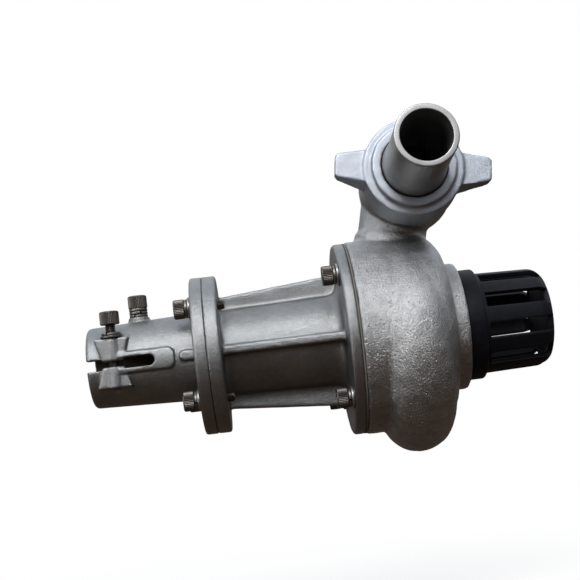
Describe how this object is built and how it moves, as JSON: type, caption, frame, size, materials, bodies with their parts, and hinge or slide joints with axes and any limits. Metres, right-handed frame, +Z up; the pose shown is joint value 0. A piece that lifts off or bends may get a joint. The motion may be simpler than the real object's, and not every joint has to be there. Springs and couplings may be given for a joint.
{
  "type": "brush cutter water pump",
  "caption": "Centrifugal water pump head that clamps on a brush cutter tube, with volute, elbow outlet, wing nut hose tail, black inlet strainer and ball-bearing shaft.",
  "frame": {"origin": "centre of the clamp bore at the sleeve mouth", "axes": "+X along the shaft from the clamp to the strainer, +Z up along the outlet neck, -Y the way the hose tail points"},
  "size_m": [0.2657, 0.1728, 0.185],
  "materials": {
    "bracket_aluminium": "fine cast, satin",
    "volute_aluminium": "rough sand cast",
    "nut_aluminium": "fine cast, pale satin",
    "tail_aluminium": "machined satin",
    "impeller_aluminium": "cast",
    "strainer_plastic": "moulded, slight sheen",
    "black_steel": "black oxide",
    "spring_steel": "plain",
    "zinc_steel": "zinc plated",
    "gasket_rubber": "matte",
    "shaft_steel": "ground",
    "bearing_steel": "polished",
    "cage_brass": "satin",
    "seal_ceramic": "lapped",
    "seal_carbon": "lapped carbon"
  },
  "bodies": {
    "casing": {"tube_clamp": "bracket_aluminium", "clamp_screw": "black_steel", "clamp_spring_washer": "spring_steel", "clamp_washer": "zinc_steel", "locating_screw": "black_steel", "locating_spring_washers": "spring_steel", "flange_screws": "black_steel", "flange_spring_washers": "spring_steel", "flange_washers": "zinc_steel", "bearing_bracket": "bracket_aluminium", "casing_screws": "black_steel", "casing_spring_washers": "spring_steel", "casing_washers": "zinc_steel", "casing_gasket": "gasket_rubber", "volute_casing": "volute_aluminium", "hose_tail_gasket": "gasket_rubber", "dust_seal": "gasket_rubber", "bore_snap_ring": "spring_steel", "bearing_outer_rings": "bearing_steel", "seal_seat": "seal_ceramic", "seal_seat_cup": "gasket_rubber"},
    "rotor": {"pump_shaft": "shaft_steel", "shaft_snap_rings": "spring_steel", "bearing_inner_rings": "bearing_steel", "bearing_spacer": "shaft_steel", "seal_face": "seal_carbon", "seal_bellows": "gasket_rubber", "seal_spring": "spring_steel", "seal_spring_holders": "spring_steel", "impeller_key": "shaft_steel", "impeller": "impeller_aluminium", "impeller_washer": "zinc_steel", "impeller_nut": "shaft_steel"},
    "ball_cages": {"bearing_balls": "bearing_steel", "bearing_cages": "cage_brass"},
    "hose_tail": {"hose_tail": "tail_aluminium"},
    "wing_nut": {"wing_nut": "nut_aluminium"},
    "inlet_gasket": {"inlet_gasket": "gasket_rubber"},
    "strainer": {"strainer": "strainer_plastic"}
  },
  "joints": [
    {"name": "shaft_spin", "type": "hinge", "parent": "casing", "child": "rotor", "pos_m": [0.1, 0, 0], "axis": [1, 0, 0], "continuous": true},
    {"name": "cage_spin", "type": "hinge", "parent": "casing", "child": "ball_cages", "pos_m": [0.1, 0, 0], "axis": [1, 0, 0], "continuous": true},
    {"name": "hose_tail_slide", "type": "slide", "parent": "casing", "child": "hose_tail", "axis": [0, -0.9969, 0.0785], "range_m": [0, 0.0139]},
    {"name": "wing_nut_turn", "type": "hinge", "parent": "hose_tail", "child": "wing_nut", "pos_m": [0.1938, -0.047, 0.0876], "axis": [0, -0.9969, 0.0785], "range_deg": [0, 2160]},
    {"name": "inlet_gasket_slide", "type": "slide", "parent": "casing", "child": "inlet_gasket", "axis": [1, 0, 0], "range_m": [0, 0.0116]},
    {"name": "strainer_turn", "type": "hinge", "parent": "inlet_gasket", "child": "strainer", "pos_m": [0.23, 0, 0], "axis": [1, 0, 0], "range_deg": [0, 1800]}
  ],
  "couplings": [
    {"joint": "cage_spin", "follows": "shaft_spin", "ratio": 0.3812},
    {"joint": "hose_tail_slide", "follows": "wing_nut_turn", "m_per_rad": 0.00036749},
    {"joint": "inlet_gasket_slide", "follows": "strainer_turn", "m_per_rad": 0.00036749}
  ]
}
